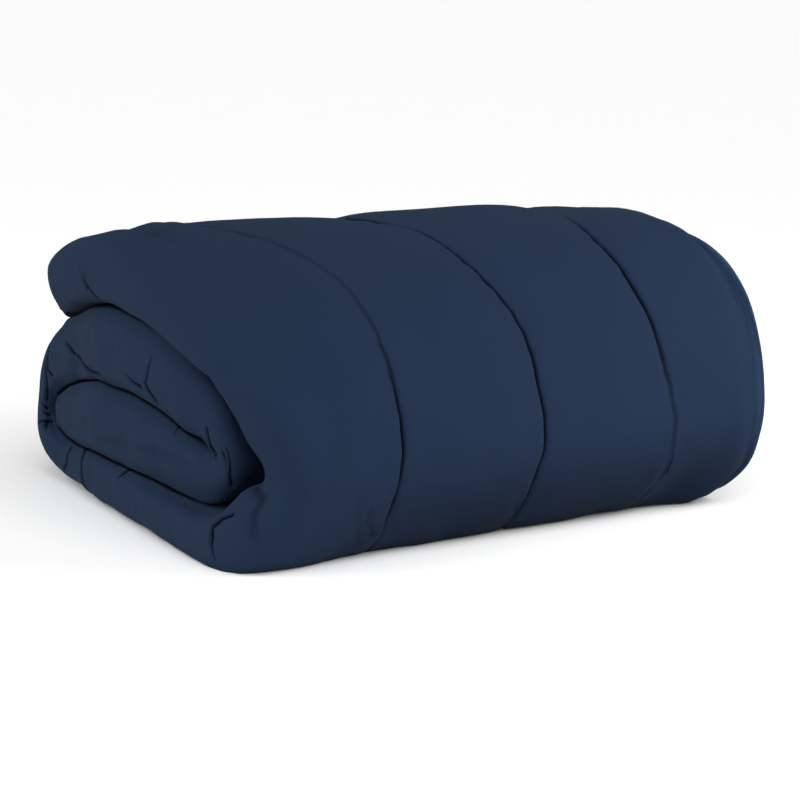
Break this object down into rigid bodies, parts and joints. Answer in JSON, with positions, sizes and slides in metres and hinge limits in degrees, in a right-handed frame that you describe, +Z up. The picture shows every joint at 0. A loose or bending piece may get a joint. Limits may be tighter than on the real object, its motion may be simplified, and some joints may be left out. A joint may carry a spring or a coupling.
{
  "type": "comforter",
  "caption": "Filled comforter, folded and rolled flat into a soft bundle, with sewn channels running round the roll and a stitched hem at one end.",
  "frame": {"origin": "on the surface that the bundle lies on, under the middle of its box", "axes": "+X along the roll, from the folded rim to the sewn rim; +Z up; the rolled front faces -Y and the free end of the roll is on top, at +Y"},
  "size_m": [0.5804, 0.4984, 0.2791],
  "materials": {
    "navy_microfibre": "matte brushed microfibre"
  },
  "bodies": {
    "root": {"comforter": "navy_microfibre"}
  },
  "joints": []
}
